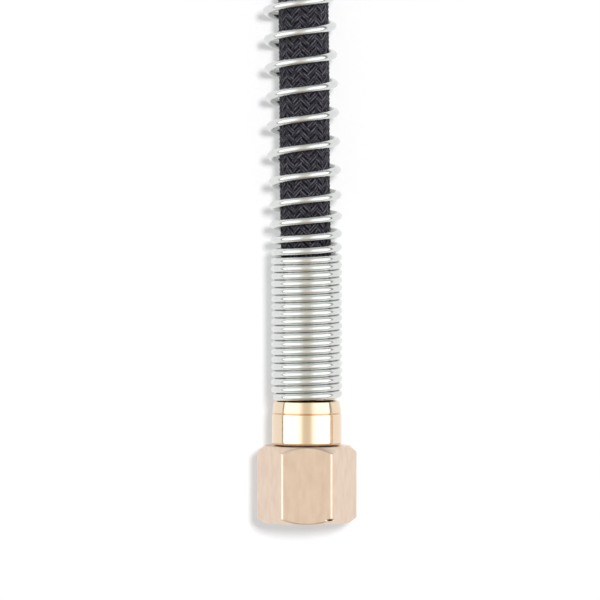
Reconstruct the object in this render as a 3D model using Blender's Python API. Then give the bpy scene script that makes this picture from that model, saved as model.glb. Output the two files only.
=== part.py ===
"""Steam iron hose: a braided hose with a spring guard, a ferrule and a union nut on each end.

It lies on the ground (z = 0) as it would on a bench. The near end points towards -Y, its hose runs
along +Y into a flat coil, and comes back to the far end, which lies beside the near one.
The origin is under the middle of the near end.
"""

import math

import bmesh
import bpy
from mathutils import Matrix, Vector

MM = 0.001

# Running clearance between pieces that touch or turn on each other
FIT = 0.3 * MM

# Hose
HOSE_DIAMETER = 9.7 * MM
HOSE_BORE = 5.0 * MM
CRIMP_SQUEEZE = 0.65 * MM

# Union nut
NUT_ACROSS_FLATS = 17.0 * MM
NUT_LENGTH = 15.0 * MM
NUT_CHAMFER_START = 0.1 * MM
NUT_CHAMFER_DEPTH = 1.1 * MM
NUT_THREAD_BORE = 11.45 * MM
NUT_MOUTH_CHAMFER = 0.8 * MM
NUT_BACK_WALL = 3.0 * MM
NUT_RELIEF_DEPTH = 0.6 * MM
NUT_RELIEF_WIDTH = 1.5 * MM

# Stem: the flanged tube that the nut turns on, with its barbed tail inside the hose
STEM_BORE = 3.6 * MM
STEM_NECK_DIAMETER = 7.8 * MM
STEM_HEAD_THICKNESS = 2.4 * MM
BARB_COUNT = 4
BARB_HEIGHT = 0.45 * MM
TAIL_LENGTH = 22.0 * MM

# Gasket on the stem's head
GASKET_THICKNESS = 1.2 * MM
GASKET_HOLE = 5.2 * MM

# Ferrule: collar, groove and neck outside, crimped sleeve inside the spring guard
COLLAR_GAP = 0.4 * MM
COLLAR_DIAMETER = 13.5 * MM
COLLAR_LENGTH = 6.1 * MM
COLLAR_ROUNDING = 1.1 * MM
COLLAR_BACK_WALL = 4.0 * MM
GROOVE_WIDTH = 0.3 * MM
GROOVE_DEPTH = 0.3 * MM
NECK_LENGTH = 1.6 * MM
NECK_STEP = 0.03 * MM
NECK_TOP_DIAMETER = 12.0 * MM
SLEEVE_WALL = 0.5 * MM
SLEEVE_LENGTH = 19.9 * MM
CRIMP_RINGS = 2
CRIMP_DEPTH = 0.2 * MM
CRIMP_WIDTH = 1.6 * MM

# Spring guard: one round wire, close wound over the ferrule and open over the hose
WIRE_DIAMETER = 1.5 * MM
WIRE_FACET_TRIM = 0.06 * MM
GUARD_SLIP = 0.35 * MM
GUARD_FLARE = 0.33 * MM
GUARD_FIRST_TURN = -0.25
GUARD_CLOSE_TURNS = 18.0
GUARD_OPENING_TURNS = 5.7
GUARD_OPEN_PITCH = 5.63 * MM
GUARD_OPEN_END = 30.0
GUARD_LAST_TURN = 32.0
GUARD_LEAN = 1.25 * MM
GUARD_SAG_LENGTH = 44.0 * MM
STEPS_PER_TURN = 12
WIRE_SIDES = 5

# Coil of the unused length, and the strap that ties it
COIL_START_RADIUS = 70.0 * MM
COIL_TURN_GAP = 0.3 * MM
COIL_LOWER_TURNS = 2.2
COIL_CLIMB_TURNS = 0.33
COIL_TURNS = 4.5
COIL_LAYER_RISE = 9.0 * MM
COIL_INSET = 0.4 * MM
COIL_CENTRE_ALONG = 205.0 * MM
COIL_CORNER = 3.5 * MM
COIL_LEAD_LENGTH = 40.0 * MM
STRAP_SHARE = 0.25
STRAP_THICKNESS = 0.8 * MM
STRAP_WIDTH = 9.0 * MM
STRAP_SLACK = 0.5 * MM

# Facets of round pieces
OUTER_SEGMENTS = 30
INNER_SEGMENTS = 24
COIL_SEGMENTS = 40
ARC_STEPS = 3
SHARP_ANGLE = 35.0
WIRE_SHARP_ANGLE = 75.0

# Places along the near end, measured from the nut's open face
NUT_BACK = NUT_LENGTH
NUT_FLOOR = NUT_LENGTH - NUT_BACK_WALL
HEAD_BACK = NUT_FLOOR - FIT
HEAD_FACE = HEAD_BACK - STEM_HEAD_THICKNESS
GASKET_BACK = HEAD_FACE - FIT
GASKET_FACE = GASKET_BACK - GASKET_THICKNESS
COLLAR_START = NUT_BACK + COLLAR_GAP
COLLAR_END = COLLAR_START + COLLAR_LENGTH
NECK_START = COLLAR_END + GROOVE_WIDTH
SHOULDER = NECK_START + NECK_LENGTH
SLEEVE_END = SHOULDER + SLEEVE_LENGTH
TAIL_START = COLLAR_START + COLLAR_BACK_WALL
TAIL_END = TAIL_START + TAIL_LENGTH
HOSE_END_START = TAIL_START + FIT
RUN_START = SLEEVE_END + FIT

# Radii that follow from the fits
HOSE_RADIUS = HOSE_DIAMETER / 2
STEM_NECK_RADIUS = STEM_NECK_DIAMETER / 2
NECK_HOLE_RADIUS = STEM_NECK_RADIUS + FIT
THREAD_RADIUS = NUT_THREAD_BORE / 2
HEAD_RADIUS = THREAD_RADIUS - FIT
BARB_ROOT_RADIUS = HOSE_BORE / 2
BARB_TIP_RADIUS = BARB_ROOT_RADIUS + BARB_HEIGHT
CRIMPED_RADIUS = HOSE_RADIUS - CRIMP_SQUEEZE
SLEEVE_BORE_RADIUS = CRIMPED_RADIUS + FIT
SLEEVE_RADIUS = SLEEVE_BORE_RADIUS + SLEEVE_WALL
WIRE_RADIUS = WIRE_DIAMETER / 2
GUARD_CLOSE_RADIUS = SLEEVE_RADIUS + GUARD_SLIP + WIRE_RADIUS
GUARD_OPEN_RADIUS = GUARD_CLOSE_RADIUS + GUARD_FLARE
COLLAR_RADIUS = COLLAR_DIAMETER / 2
NECK_START_RADIUS = COLLAR_RADIUS - NECK_STEP
AXIS_HEIGHT = NUT_ACROSS_FLATS / 2

# A coil of straight facets keeps the wire's mean radius when its corners stand out a little
FACET_SPREAD = 1 / math.cos(math.pi / STEPS_PER_TURN) ** 0.5
GUARD_REST_HEIGHT = GUARD_OPEN_RADIUS * FACET_SPREAD + WIRE_RADIUS - WIRE_FACET_TRIM / 2

# Pitch of the spring guard against its turns; between two of these it changes evenly
GUARD_PITCHES = [
    (GUARD_FIRST_TURN, WIRE_DIAMETER),
    (GUARD_CLOSE_TURNS, WIRE_DIAMETER),
    (GUARD_CLOSE_TURNS + GUARD_OPENING_TURNS, GUARD_OPEN_PITCH),
    (GUARD_OPEN_END, GUARD_OPEN_PITCH),
    (GUARD_LAST_TURN - 1, WIRE_DIAMETER),
    (GUARD_LAST_TURN, WIRE_DIAMETER),
]
GUARD_START = SHOULDER + FIT + WIRE_RADIUS


def guard_along(turn):
    """Distance of the wire's middle from the nut's open face after so many turns."""
    along = GUARD_START
    for (start, pitch), (end, next_pitch) in zip(GUARD_PITCHES, GUARD_PITCHES[1:]):
        reach = min(turn, end)
        if reach <= start:
            break
        reached_pitch = pitch + (next_pitch - pitch) * (reach - start) / (end - start)
        along += (reach - start) * (pitch + reached_pitch) / 2
    return along


END_LENGTH = guard_along(GUARD_LAST_TURN) + WIRE_RADIUS

# Coil sizes
TURN_PITCH = HOSE_DIAMETER + COIL_TURN_GAP
COIL_BOTTOM = STRAP_THICKNESS + STRAP_SLACK
COIL_LOWER_MIDDLE = COIL_BOTTOM + HOSE_RADIUS
COIL_TOP = COIL_BOTTOM + HOSE_DIAMETER + COIL_LAYER_RISE


def turn_radius(turns):
    """Radius of the wound hose: it shrinks, turns back while it climbs, then grows."""
    climb = min(max(turns - COIL_LOWER_TURNS, 0), COIL_CLIMB_TURNS)
    inwards = min(turns, COIL_LOWER_TURNS + COIL_CLIMB_TURNS)
    outwards = turns - inwards + climb**2 / COIL_CLIMB_TURNS
    return COIL_START_RADIUS + TURN_PITCH * (outwards - inwards)


FAR_X = COIL_START_RADIUS + turn_radius(COIL_TURNS)

# Inside its guard the hose passes these points: along, then to the right of and above the guard's axis
HOSE_IN_GUARD = [
    (47.0, 0.0, 0.0),
    (54.0, -0.10, -0.05),
    (64.0, -0.10, -0.08),
    (76.0, 0.13, -0.15),
    (90.0, 0.42, -0.25),
    (104.0, 0.48, -0.28),
    (112.0, 0.45, -0.30),
]
# Beyond the guard it passes these: to the right, along, height above the ground
NEAR_ROUTE = [
    (-0.60, 126.0, 5.95),
    (-0.30, 140.0, 5.15),
    (-0.08, 155.0, 5.00),
]
FAR_ROUTE = [
    (-0.60, 125.0, 7.40),
    (-0.35, 136.0, 9.00),
    (-0.15, 147.0, 10.75),
    (0.0, 157.0, 12.10),
]
# Heights of the two leads of the coil, where they start and beside the coil's middle
NEAR_LEAD_HEIGHTS = (5.0 * MM, 5.0 * MM)
FAR_LEAD_HEIGHTS = (12.6 * MM, 14.4 * MM)
ROUTE_STEP = 2.0 * HOSE_DIAMETER
ROUTE_FINENESS = 10
TUBE_RESOLUTION = 4
LEAD_SIDES = 12


def clear_scene():
    for old in list(bpy.data.objects):
        bpy.data.objects.remove(old, do_unlink=True)


def make_material(name, colour, roughness, metallic):
    material = bpy.data.materials.new(name)
    material.use_nodes = True
    shader = material.node_tree.nodes["Principled BSDF"]
    shader.inputs["Base Color"].default_value = (*colour, 1.0)
    shader.inputs["Roughness"].default_value = roughness
    shader.inputs["Metallic"].default_value = metallic
    return material


def place(name, data, material, parent=None):
    """Put mesh or curve data in the scene as one named sub-part."""
    piece = bpy.data.objects.new(name, data)
    bpy.context.scene.collection.objects.link(piece)
    data.materials.append(material)
    piece.parent = parent
    return piece


def finish_mesh(name, bm, sharp_angle=SHARP_ANGLE):
    bmesh.ops.remove_doubles(bm, verts=bm.verts, dist=1e-7)
    bmesh.ops.recalc_face_normals(bm, faces=bm.faces)
    mesh = bpy.data.meshes.new(name)
    bm.to_mesh(mesh)
    bm.free()
    mesh.shade_smooth()
    mesh.set_sharp_from_angle(angle=math.radians(sharp_angle))
    return mesh


def turned_mesh(name, profile, segments):
    """Turn a closed outline of (along, radius) points round the Y axis."""
    bm = bmesh.new()
    corners = [bm.verts.new((radius, along, 0)) for along, radius in profile]
    edges = [bm.edges.new((corners[i - 1], corners[i])) for i in range(len(corners))]
    bmesh.ops.spin(
        bm,
        geom=corners + edges,
        cent=(0, 0, 0),
        axis=(0, 1, 0),
        angle=math.tau,
        steps=segments,
        use_merge=True,
    )
    return finish_mesh(name, bm)


def arc(centre_along, centre_radius, size, start, end):
    """Points of a quarter round in an (along, radius) outline, between two angles in degrees."""
    points = []
    for i in range(ARC_STEPS + 1):
        angle = math.radians(start + (end - start) * i / ARC_STEPS)
        points.append((centre_along + size * math.cos(angle), centre_radius + size * math.sin(angle)))
    return points


def smoothstep(share):
    share = min(max(share, 0.0), 1.0)
    return share * share * (3 - 2 * share)


def hex_cutter(name, parent):
    """The six flats, as a prism that is longer than the nut at both ends."""
    bm = bmesh.new()
    corner_radius = NUT_ACROSS_FLATS / math.sqrt(3)
    rings = []
    for along in (-NUT_LENGTH, 2 * NUT_LENGTH):
        ring = []
        for i in range(6):
            angle = math.tau * i / 6
            ring.append(bm.verts.new((corner_radius * math.cos(angle), along, corner_radius * math.sin(angle))))
        rings.append(ring)
        bm.faces.new(ring)
    for i in range(6):
        bm.faces.new((rings[0][i - 1], rings[0][i], rings[1][i], rings[1][i - 1]))
    mesh = finish_mesh(name, bm)
    cutter = bpy.data.objects.new(name, mesh)
    bpy.context.scene.collection.objects.link(cutter)
    cutter.parent = parent
    cutter.hide_render = True
    cutter.display_type = "WIRE"
    return cutter


def nut_mesh(name):
    """A round blank with its socket, relief, back hole and the chamfer cones of both ends."""
    flat_radius = NUT_ACROSS_FLATS / 2
    blank_radius = NUT_ACROSS_FLATS / math.sqrt(3) + NUT_CHAMFER_START
    face_radius = flat_radius - NUT_CHAMFER_START
    relief_radius = THREAD_RADIUS + NUT_RELIEF_DEPTH
    relief_start = NUT_FLOOR - NUT_RELIEF_WIDTH
    profile = [
        (0, face_radius),
        (NUT_CHAMFER_DEPTH, blank_radius),
        (NUT_LENGTH - NUT_CHAMFER_DEPTH, blank_radius),
        (NUT_LENGTH, face_radius),
        (NUT_LENGTH, NECK_HOLE_RADIUS),
        (NUT_FLOOR, NECK_HOLE_RADIUS),
        (NUT_FLOOR, relief_radius),
        (relief_start, relief_radius),
        (relief_start - NUT_RELIEF_DEPTH, THREAD_RADIUS),
        (NUT_MOUTH_CHAMFER, THREAD_RADIUS),
        (0, THREAD_RADIUS + NUT_MOUTH_CHAMFER),
    ]
    return turned_mesh(name, profile, OUTER_SEGMENTS)


def build_nut(end, material, parent):
    nut = place(f"{end}_nut", nut_mesh(f"{end}_nut"), material, parent)
    flats = nut.modifiers.new("six flats", "BOOLEAN")
    flats.operation = "INTERSECT"
    flats.solver = "EXACT"
    flats.object = hex_cutter(f"{end}_nut_flats", parent)


def build_gasket(end, material, parent):
    profile = [
        (GASKET_FACE, GASKET_HOLE / 2),
        (GASKET_FACE, HEAD_RADIUS),
        (GASKET_BACK, HEAD_RADIUS),
        (GASKET_BACK, GASKET_HOLE / 2),
    ]
    place(f"{end}_gasket", turned_mesh(f"{end}_gasket", profile, INNER_SEGMENTS), material, parent)


def build_stem(end, material, parent):
    """Flanged head, neck through the nut and ferrule, and a barbed tail, bored through."""
    profile = [
        (HEAD_FACE, STEM_BORE / 2),
        (HEAD_FACE, HEAD_RADIUS),
        (HEAD_BACK, HEAD_RADIUS),
        (HEAD_BACK, STEM_NECK_RADIUS),
        (TAIL_START, STEM_NECK_RADIUS),
    ]
    for i in range(BARB_COUNT):
        barb_start = TAIL_START + TAIL_LENGTH * i / BARB_COUNT
        profile += [(barb_start, BARB_ROOT_RADIUS), (barb_start + BARB_HEIGHT, BARB_TIP_RADIUS)]
    profile += [(TAIL_END, BARB_ROOT_RADIUS), (TAIL_END, STEM_BORE / 2)]
    place(f"{end}_stem", turned_mesh(f"{end}_stem", profile, INNER_SEGMENTS), material, parent)


def build_ferrule(end, material, parent):
    """Collar with a rounded edge, a groove, a tapered neck and the sleeve with its crimp rings."""
    groove_radius = COLLAR_RADIUS - GROOVE_DEPTH
    profile = [(COLLAR_START, NECK_HOLE_RADIUS)]
    rounding_radius = COLLAR_RADIUS - COLLAR_ROUNDING
    profile += arc(COLLAR_START + COLLAR_ROUNDING, rounding_radius, COLLAR_ROUNDING, 180, 90)
    profile += [
        (COLLAR_END, COLLAR_RADIUS),
        (COLLAR_END, groove_radius),
        (NECK_START, groove_radius),
        (NECK_START, NECK_START_RADIUS),
        (SHOULDER, NECK_TOP_DIAMETER / 2),
        (SHOULDER, SLEEVE_RADIUS),
    ]
    for i in range(CRIMP_RINGS):
        middle = SHOULDER + SLEEVE_LENGTH * (i + 1) / (CRIMP_RINGS + 1)
        profile += [
            (middle - CRIMP_WIDTH / 2, SLEEVE_RADIUS),
            (middle - CRIMP_WIDTH / 4, SLEEVE_RADIUS - CRIMP_DEPTH),
            (middle + CRIMP_WIDTH / 4, SLEEVE_RADIUS - CRIMP_DEPTH),
            (middle + CRIMP_WIDTH / 2, SLEEVE_RADIUS),
        ]
    profile += [
        (SLEEVE_END, SLEEVE_RADIUS),
        (SLEEVE_END, SLEEVE_BORE_RADIUS),
        (TAIL_START, SLEEVE_BORE_RADIUS),
        (TAIL_START, NECK_HOLE_RADIUS),
    ]
    place(f"{end}_ferrule", turned_mesh(f"{end}_ferrule", profile, INNER_SEGMENTS), material, parent)


def build_hose_end(end, material, parent):
    """The hose's own end, squeezed between the barbs and the sleeve."""
    inner = BARB_TIP_RADIUS + FIT
    profile = [
        (HOSE_END_START, inner),
        (HOSE_END_START, CRIMPED_RADIUS),
        (SLEEVE_END, CRIMPED_RADIUS),
        (SLEEVE_END, inner),
    ]
    name = f"{end}_hose_end"
    place(name, turned_mesh(name, profile, INNER_SEGMENTS), material, parent)


def guard_centre(along):
    """Where the guard's own axis runs: it leans to the left and sags to the ground."""
    lean = GUARD_LEAN * smoothstep((along - SLEEVE_END) / (END_LENGTH - SLEEVE_END))
    sag = (AXIS_HEIGHT - GUARD_REST_HEIGHT) * smoothstep((along - SLEEVE_END) / GUARD_SAG_LENGTH)
    return Vector((-lean, along, -sag))


def guard_wire_point(turn):
    """Middle of the wire after so many turns. A whole number is on top; it winds right-handed."""
    along = guard_along(turn)
    opened = smoothstep((turn - GUARD_CLOSE_TURNS) / GUARD_OPENING_TURNS)
    radius = (GUARD_CLOSE_RADIUS + GUARD_FLARE * opened) * FACET_SPREAD
    angle = math.tau * turn
    outwards = Vector((math.sin(angle), 0, math.cos(angle)))
    return guard_centre(along) + outwards * radius, outwards


def build_guard(end, material, parent):
    bm = bmesh.new()
    wire_radius = WIRE_RADIUS - WIRE_FACET_TRIM / 2
    steps = round((GUARD_LAST_TURN - GUARD_FIRST_TURN) * STEPS_PER_TURN)
    rings = []
    for step in range(steps + 1):
        turn = GUARD_FIRST_TURN + step / STEPS_PER_TURN
        middle, outwards = guard_wire_point(turn)
        ahead = guard_wire_point(turn + 0.1 / STEPS_PER_TURN)[0] - middle
        sideways = ahead.normalized().cross(outwards).normalized()
        ring = []
        for side in range(WIRE_SIDES):
            angle = math.tau * side / WIRE_SIDES
            offset = outwards * math.cos(angle) + sideways * math.sin(angle)
            ring.append(bm.verts.new(middle + offset * wire_radius))
        rings.append(ring)
    for ring, next_ring in zip(rings, rings[1:]):
        for i in range(WIRE_SIDES):
            bm.faces.new((ring[i - 1], ring[i], next_ring[i], next_ring[i - 1]))
    bm.faces.new(rings[0])
    bm.faces.new(rings[-1])
    place(f"{end}_guard", finish_mesh(f"{end}_guard", bm, WIRE_SHARP_ANGLE), material, parent)


def hose_knots(route, lead_height):
    """All the points of one free stretch, from the ferrule's sleeve to the coil's lead."""
    knots = [Vector((0, RUN_START, AXIS_HEIGHT))]
    for along, right, up in HOSE_IN_GUARD:
        offset = Vector((right, 0, AXIS_HEIGHT / MM + up)) * MM
        knots.append(guard_centre(along * MM) + offset)
    knots += [Vector(point) * MM for point in route]
    knots.append(Vector((0, COIL_CENTRE_ALONG - COIL_LEAD_LENGTH - FIT, lead_height)))
    return knots


def curve_through(points, before, after, share):
    """Catmull-Rom point between two points of a route, a share of the way."""
    first, second = points
    return 0.5 * (
        2 * first
        + (second - before) * share
        + (2 * before - 5 * first + 4 * second - after) * share**2
        + (3 * first - before - 3 * second + after) * share**3
    )


def smooth_route(knots):
    """Points about two diameters apart on one smooth curve through the route's own points."""
    dense = []
    for i in range(len(knots) - 1):
        before = knots[i - 1] if i > 0 else 2 * knots[0] - knots[1]
        after = knots[i + 2] if i + 2 < len(knots) else 2 * knots[-1] - knots[-2]
        for step in range(ROUTE_FINENESS):
            dense.append(curve_through(knots[i : i + 2], before, after, step / ROUTE_FINENESS))
    dense.append(knots[-1])
    length = sum((b - a).length for a, b in zip(dense, dense[1:]))
    spans = round(length / ROUTE_STEP)
    return [dense[round(i * (len(dense) - 1) / spans)] for i in range(spans + 1)]


def build_run(name, knots, offset, material, parent):
    """A stretch of free hose, as a round tube with closed ends."""
    curve = bpy.data.curves.new(name, "CURVE")
    curve.dimensions = "3D"
    curve.bevel_depth = HOSE_RADIUS
    curve.bevel_resolution = TUBE_RESOLUTION
    curve.use_fill_caps = True
    points = smooth_route(knots)
    spline = curve.splines.new("POLY")
    spline.points.add(len(points) - 1)
    for target, point in zip(spline.points, points):
        target.co = (point.x + offset, point.y, point.z, 1.0)
    place(name, curve, material, parent)


def coil_section(share):
    """The coil's section at this share of a turn, as (radius, height) round its two layers of turns."""
    turns = [share + k for k in range(math.ceil(COIL_TURNS)) if share + k <= COIL_TURNS]
    change = COIL_LOWER_TURNS + COIL_CLIMB_TURNS / 2
    lower = [turn_radius(turn) for turn in turns if turn < change]
    upper = [turn_radius(turn) for turn in turns if turn >= change]
    reach = HOSE_RADIUS - COIL_INSET
    return [
        (min(lower) - reach + COIL_CORNER, COIL_BOTTOM),
        (max(lower) + reach - COIL_CORNER, COIL_BOTTOM),
        (max(lower) + reach, COIL_LOWER_MIDDLE),
        (max(upper) + reach, COIL_TOP - COIL_CORNER),
        (max(upper) + reach - COIL_CORNER, COIL_TOP),
        (min(upper) - reach + COIL_CORNER, COIL_TOP),
        (min(upper) - reach, COIL_TOP - COIL_CORNER),
        (min(lower) - reach, COIL_LOWER_MIDDLE),
    ]


def lead_shape(name, x, heights, parent):
    """Straight hose that runs off the coil at one side, to be joined to it."""
    start = Vector((x, COIL_CENTRE_ALONG - COIL_LEAD_LENGTH, heights[0]))
    end = Vector((x, COIL_CENTRE_ALONG, heights[1]))
    turn = (end - start).to_track_quat("Z", "Y").to_matrix().to_4x4()
    bm = bmesh.new()
    bmesh.ops.create_cone(
        bm,
        cap_ends=True,
        segments=LEAD_SIDES,
        radius1=HOSE_RADIUS,
        radius2=HOSE_RADIUS,
        depth=(end - start).length,
        matrix=Matrix.Translation((start + end) / 2) @ turn,
    )
    lead = bpy.data.objects.new(name, finish_mesh(name, bm))
    bpy.context.scene.collection.objects.link(lead)
    lead.parent = parent
    lead.hide_render = True
    lead.display_type = "WIRE"
    return lead


def build_coil(material, parent):
    """One solid round all the turns, with the leads on which the hose runs onto it and off it."""
    bm = bmesh.new()
    rings = []
    for k in range(COIL_SEGMENTS):
        share = k / COIL_SEGMENTS
        angle = math.pi - math.tau * share
        corners = [(r * math.cos(angle), r * math.sin(angle), z) for r, z in coil_section(share)]
        rings.append([bm.verts.new(corner) for corner in corners])
    for k, ring in enumerate(rings):
        for i in range(len(ring)):
            bm.faces.new((rings[k - 1][i - 1], rings[k - 1][i], ring[i], ring[i - 1]))
    coil = place("hose_coil", finish_mesh("hose_coil", bm), material, parent)
    coil.location = (COIL_START_RADIUS, COIL_CENTRE_ALONG, 0)
    for name, x, heights in (("near_lead", 0.0, NEAR_LEAD_HEIGHTS), ("far_lead", FAR_X, FAR_LEAD_HEIGHTS)):
        joined = coil.modifiers.new(name, "BOOLEAN")
        joined.operation = "UNION"
        joined.solver = "EXACT"
        joined.object = lead_shape(name, x, heights, parent)


def strap_section(grow):
    """The coil's section under the strap, grown all round by this much."""
    outline = [Vector(corner) for corner in coil_section(STRAP_SHARE)]
    grown = []
    for i, corner in enumerate(outline):
        before = (corner - outline[i - 1]).normalized()
        after = (outline[(i + 1) % len(outline)] - corner).normalized()
        outwards = Vector((before.y + after.y, -before.x - after.x)).normalized()
        grown.append(corner + outwards * grow / math.sqrt((1 + before.dot(after)) / 2))
    return grown


def build_strap(material, parent):
    """A flat band round the coil's section, on the side away from the two ends."""
    bm = bmesh.new()
    loops = []
    for side, grow in ((-0.5, 0), (-0.5, STRAP_THICKNESS), (0.5, STRAP_THICKNESS), (0.5, 0)):
        angle = side * STRAP_WIDTH / COIL_START_RADIUS
        section = strap_section(STRAP_SLACK + grow)
        corners = [(r * math.sin(angle), r * math.cos(angle), z) for r, z in section]
        loops.append([bm.verts.new(corner) for corner in corners])
    for k, loop in enumerate(loops):
        for i in range(len(loop)):
            bm.faces.new((loops[k - 1][i - 1], loops[k - 1][i], loop[i], loop[i - 1]))
    strap = place("coil_strap", finish_mesh("coil_strap", bm), material, parent)
    strap.location = (COIL_START_RADIUS, COIL_CENTRE_ALONG, 0)


def make_root():
    """An empty at the near nut's open face on the ground; every place is measured from it."""
    root = bpy.data.objects.new("near_face", None)
    bpy.context.scene.collection.objects.link(root)
    root.location = (0, -END_LENGTH / 2, 0)
    return root


def build_end(end, x, materials, root):
    """One hose end: its empty lies on the axis, so the nut's origin is on its joint."""
    axis = bpy.data.objects.new(f"{end}_axis", None)
    bpy.context.scene.collection.objects.link(axis)
    axis.parent = root
    axis.location = (x, 0, AXIS_HEIGHT)
    build_nut(end, materials["nut"], axis)
    build_gasket(end, materials["gasket"], axis)
    build_stem(end, materials["ferrule"], axis)
    build_ferrule(end, materials["ferrule"], axis)
    build_hose_end(end, materials["braid"], axis)
    build_guard(end, materials["wire"], axis)


def main():
    clear_scene()
    materials = {
        "nut": make_material("satin brass", (0.78, 0.60, 0.44), 0.34, 1.0),
        "ferrule": make_material("polished brass", (0.82, 0.64, 0.46), 0.14, 1.0),
        "wire": make_material("bright zinc wire", (0.78, 0.79, 0.80), 0.18, 1.0),
        "braid": make_material("charcoal braid", (0.035, 0.032, 0.038), 0.85, 0.0),
        "gasket": make_material("gasket fibre", (0.30, 0.07, 0.05), 0.8, 0.0),
        "strap": make_material("black strap", (0.02, 0.02, 0.02), 0.7, 0.0),
    }
    root = make_root()
    build_end("near", 0.0, materials, root)
    build_end("far", FAR_X, materials, root)
    near_knots = hose_knots(NEAR_ROUTE, NEAR_LEAD_HEIGHTS[0])
    far_knots = hose_knots(FAR_ROUTE, FAR_LEAD_HEIGHTS[0])
    build_run("hose_run", near_knots, 0.0, materials["braid"], root)
    build_run("far_run", far_knots, FAR_X, materials["braid"], root)
    build_coil(materials["braid"], root)
    build_strap(materials["strap"], root)


main()
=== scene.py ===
"""Looks of the steam iron hose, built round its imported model.

The near end lies under the camera. The coil, which holds the hose's length, and the far end lie
just outside the picture. Lengths are in metres, and MM turns millimetres into them. "Along" is the
distance from a nut's open face towards the coil.
"""

import math

import bpy
import numpy as np
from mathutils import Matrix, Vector


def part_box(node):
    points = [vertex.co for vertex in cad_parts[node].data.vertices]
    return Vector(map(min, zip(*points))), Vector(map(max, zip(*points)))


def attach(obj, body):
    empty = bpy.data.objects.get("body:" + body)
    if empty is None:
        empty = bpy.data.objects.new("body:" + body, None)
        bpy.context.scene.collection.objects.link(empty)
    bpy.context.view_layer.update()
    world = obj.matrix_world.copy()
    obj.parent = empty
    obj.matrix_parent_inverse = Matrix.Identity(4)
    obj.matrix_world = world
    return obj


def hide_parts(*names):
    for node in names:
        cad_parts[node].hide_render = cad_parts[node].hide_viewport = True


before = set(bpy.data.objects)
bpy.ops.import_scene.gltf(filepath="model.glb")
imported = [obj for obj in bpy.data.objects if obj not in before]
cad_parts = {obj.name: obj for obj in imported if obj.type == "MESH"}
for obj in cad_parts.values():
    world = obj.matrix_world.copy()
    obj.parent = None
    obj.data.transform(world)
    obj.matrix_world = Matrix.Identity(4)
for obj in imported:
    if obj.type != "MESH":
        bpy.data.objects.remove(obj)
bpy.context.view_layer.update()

MM = 0.001

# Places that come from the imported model
near_low, near_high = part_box("near_nut")
far_low, far_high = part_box("far_nut")
FACE_Y = near_low[1]
NUT_LENGTH = near_high[1] - near_low[1]
NUT_ACROSS_FLATS = near_high[2] - near_low[2]
AXIS_HEIGHT = (near_low[2] + near_high[2]) / 2
FAR_X = (far_low[0] + far_high[0]) / 2

# Union nut
NUT_BACK_WALL = 3.0 * MM
NUT_HOLE_RADIUS = 4.2 * MM
NUT_FACE_INSET = 0.1 * MM
NUT_CHAMFER_DEPTH = 1.1 * MM
NUT_CHAMFER_RISE = 1.515 * MM
NUT_BACK_CHAMFER_DEPTH = 1.4 * MM
NUT_EDGE_ROUNDING = 0.20 * MM
NUT_CORNER_ROUNDING = 0.42 * MM
NUT_HOLE_EDGE = 0.15 * MM
NUT_RELIEF_RADIUS = 6.325 * MM
NUT_RELIEF_WIDTH = 2.1 * MM
THREAD_MINOR_RADIUS = 5.725 * MM
THREAD_DEPTH = 0.60 * MM
THREAD_PITCH = 1.337 * MM
THREAD_ROWS_PER_PITCH = 10
THREAD_START = 0.05 * MM
THREAD_FLANK = 0.4  # width of each slope of the thread, in parts of its pitch
NICK_ALONG = 0.90 * MM
NICK_ANGLE = math.radians(29.3)
NICK_HALF_LENGTH = 0.15 * MM
NICK_HALF_WIDTH = 0.50 * MM
NICK_DEPTH = 0.60 * MM
NICK_SKIN = 1.0 * MM  # the nick's painted shade lies no deeper under the flats than this
MOUTH_RADIUS = 6.525 * MM
MOUTH_DEPTH = 0.8 * MM
MOUTH_EDGE = 0.06 * MM

# Points over the nut: rows by their distance behind each face and then over its middle, angles by
# their degrees off a corner, and each face's edge as (behind the face, inside its rim)
CHAMFER_ROWS = np.concatenate([np.arange(0.05, 0.7, 0.08), np.arange(0.7, 1.7, 0.04)]) * MM
MIDDLE_ROWS = np.array([2.5, 7.5, 12.5]) * MM
CORNER_STEPS = [0.5, 1.0, 1.6, 2.4, 3.6, 5.5, 8.0, 12.0, 16.0, 20.0, 25.0]
FACE_EDGE = [(0.0, 0.35 * MM), (0.0, 0.12 * MM), (0.012 * MM, 0.02 * MM)]

# Stem and gasket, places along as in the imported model
HEAD_RADIUS = 5.425 * MM
GASKET_FACE = 7.8 * MM
GASKET_BACK = 9.0 * MM
GASKET_HOLE_RADIUS = 2.6 * MM
HEAD_FACE = 9.3 * MM
HEAD_BACK = 11.7 * MM
STEM_BORE_RADIUS = 1.8 * MM
STEM_NECK_RADIUS = 3.9 * MM
STEM_NECK_END = 19.4 * MM
STEM_END = 41.4 * MM
STEM_TAIL_RADIUS = 2.7 * MM
INNER_EDGE = 0.12 * MM

# Ferrule
COLLAR_START = 15.15 * MM
COLLAR_END = 21.2 * MM
COLLAR_RADIUS = 6.80 * MM
COLLAR_ROUNDING = 0.65 * MM
GROOVE_WIDTH = 0.3 * MM
GROOVE_DEPTH = 0.32 * MM
SHOULDER = 23.66 * MM
SHOULDER_BEVEL = 0.35 * MM
SHOULDER_BEVEL_RADIUS = 5.42 * MM
NECK_START_RADIUS = 6.76 * MM
NECK_TOP_RADIUS = 6.42 * MM
SLEEVE_END = 43.3 * MM
SLEEVE_RADIUS = 5.0 * MM
SLEEVE_BORE_RADIUS = 4.5 * MM
FERRULE_EDGE = 0.07 * MM

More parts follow.
